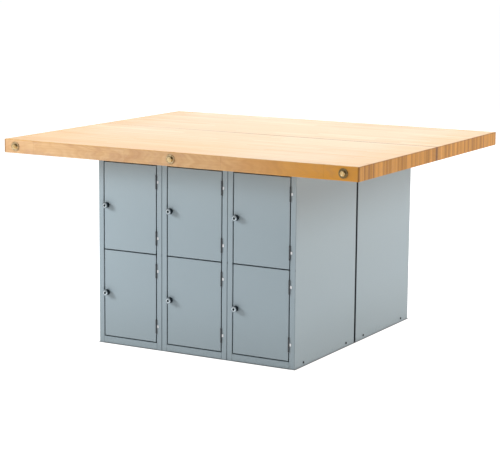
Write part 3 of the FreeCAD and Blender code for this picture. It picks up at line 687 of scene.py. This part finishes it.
def bezel_pattern():
    """One crowned ring round the origin, facing the front, with its flat back just behind y = 0."""
    bpy.ops.object.select_all(action="DESELECT")
    bpy.ops.mesh.primitive_torus_add(
        major_segments=BEZEL_STEPS_AROUND,
        minor_segments=BEZEL_STEPS_ACROSS,
        major_radius=BEZEL_MIDDLE,
        minor_radius=BEZEL_WIDTH / 2,
        rotation=(math.radians(90), 0, 0),
    )
    ring = bpy.context.object
    ring.scale.z = BEZEL_CROWN / (BEZEL_WIDTH / 2)
    bpy.ops.object.transform_apply(location=True, rotation=True, scale=True)
    bpy.ops.object.mode_set(mode="EDIT")
    bpy.ops.mesh.select_all(action="SELECT")
    bpy.ops.mesh.bisect(
        plane_co=(0, BEZEL_SEAT, 0),
        plane_no=(0, 1, 0),
        use_fill=True,
        clear_outer=True,
    )
    bpy.ops.mesh.select_all(action="SELECT")
    bpy.ops.mesh.normals_make_consistent(inside=False)
    bpy.ops.object.mode_set(mode="OBJECT")
    bpy.ops.object.shade_smooth_by_angle(angle=math.radians(BEZEL_SMOOTH_ANGLE))
    return ring


def latch_bezels():
    """A crowned ring on every knob, turning with its latch."""
    pattern = bezel_pattern()
    bright = plated_metal("bezel_nickel", BEZEL_BRIGHT, BEZEL_DULL, roughness=0.28)
    for joint in frame["joints"]:
        if not joint["name"].endswith("_latch_turn"):
            continue
        latch = joint["name"].removesuffix("_turn")
        across, deep, height = joint["pos_m"]
        facing_rear = deep > 0
        turn = Matrix.Rotation(math.pi if facing_rear else 0.0, 4, "Z")
        face = KNOB_FACE if facing_rear else -KNOB_FACE
        ring = pattern.copy()
        ring.data = pattern.data.copy()
        ring.data.transform(Matrix.Translation((across, face, height)) @ turn)
        ring.name = f"{latch}_bezel"
        ring.data.materials.append(bright)
        bpy.context.scene.collection.objects.link(ring)
        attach(ring, latch)
    bpy.data.objects.remove(pattern)


# Stage

def floor_white():
    """Softly glowing white, with a painted contact shadow: a dark line round the foot of the cabinets."""
    finish = Finish("floor_white")
    x, y = finish.place()[:2]
    beside = (x - BASE_MIDDLE).size() - BASE_HALF_WIDTH
    before = y.size() - CABINET_FACE
    away = finish.maths("MAXIMUM", beside, before)
    # painted contact shadow: the glow fades to dark right next to the cabinets
    glow = away.between(0.0, CONTACT_SHADOW_WIDTH, low=CONTACT_SHADOW_GLOW)
    return finish.surface(
        Base_Color=finish.mixed(glow, CONTACT_SHADOW_GREY, FLOOR_GREY),
        Roughness=0.9,
        Emission_Color=finish.mixed(glow, BLACK, WHITE),
        Emission_Strength=FLOOR_GLOW,
    )


def pale_floor():
    bpy.ops.object.select_all(action="DESELECT")
    bpy.ops.mesh.primitive_plane_add(size=FLOOR_SIZE, location=(0, 0, -FLOOR_DROP))
    floor = bpy.context.object
    floor.name = "studio_floor"
    floor.data.materials.append(floor_white())


def white_room():
    world = bpy.data.worlds.new("white_room")
    world.use_nodes = True
    background = world.node_tree.nodes["Background"]
    background.inputs["Color"].default_value = WHITE
    background.inputs["Strength"].default_value = ROOM_BRIGHTNESS
    bpy.context.scene.world = world


def soft_light(name, place, target, width, height, brightness, colour=WHITE_LIGHT, mirrored=True):
    """A softbox at a place, facing a target; a brightness of 1 is that of a white card.

    A softbox that isn't mirrored lights the bench but leaves no glare on it.
    """
    light = bpy.data.lights.new(name, "AREA")
    light.shape = "RECTANGLE"
    light.size = width
    light.size_y = height
    light.energy = brightness * math.pi * width * height
    light.color = colour
    lamp = bpy.data.objects.new(name, light)
    lamp.location = place
    lamp.visible_glossy = mirrored
    lamp.rotation_euler = (Vector(target) - Vector(place)).to_track_quat("-Z", "Y").to_euler()
    bpy.context.scene.collection.objects.link(lamp)


def light_the_bench():
    white_room()
    soft_light(
        "key_light", KEY_PLACE, KEY_TARGET, KEY_SIZE, KEY_SIZE,
        brightness=33.0, colour=COOL_LIGHT, mirrored=False,
    )
    soft_light(
        "glint_light", KEY_PLACE, KEY_TARGET, KEY_SIZE, KEY_SIZE,
        brightness=2.5, colour=COOL_LIGHT,
    )
    soft_light(
        "side_light", place=(4.6, 1.9, 3.0), target=(0.5, 0.1, 0.40), width=2.2, height=2.0,
        brightness=10.4, colour=WARM_LIGHT, mirrored=False,
    )
    soft_light(
        "top_light", place=(0.0, 0.2, 3.8), target=(0.0, 0.0, 0.8), width=3.2, height=3.2,
        brightness=4.7,
    )
    soft_light(
        "backdrop", place=(-0.8, 9.1, 2.4), target=(-0.6, 0.0, 0.8), width=15.2, height=4.4,
        brightness=1.85,
    )


def photo_camera():
    """The camera at the photograph's place, its axes built from yaw, pitch and roll."""
    yaw = math.radians(CAMERA_YAW)
    pitch = math.radians(CAMERA_PITCH)
    roll = math.radians(CAMERA_ROLL)
    ahead = math.cos(pitch)
    forward = Vector((-math.sin(yaw) * ahead, math.cos(yaw) * ahead, -math.sin(pitch)))
    level = Vector((math.cos(yaw), math.sin(yaw), 0.0))
    upright = level.cross(forward)
    right = level * math.cos(roll) + upright * math.sin(roll)
    up = upright * math.cos(roll) - level * math.sin(roll)
    data = bpy.data.cameras.new("photo_camera")
    data.sensor_width = SENSOR_WIDTH
    data.lens = FOCAL_PIXELS / PICTURE_WIDTH * SENSOR_WIDTH
    data.clip_end = CAMERA_REACH
    camera = bpy.data.objects.new("photo_camera", data)
    axes = Matrix((right, up, -forward)).transposed().to_4x4()
    camera.matrix_world = Matrix.Translation(CAMERA_PLACE) @ axes
    bpy.context.scene.collection.objects.link(camera)
    bpy.context.scene.camera = camera


finish_nodes()
latch_bezels()
pale_floor()
light_the_bench()
photo_camera()
bpy.context.scene.view_settings.view_transform = "Standard"
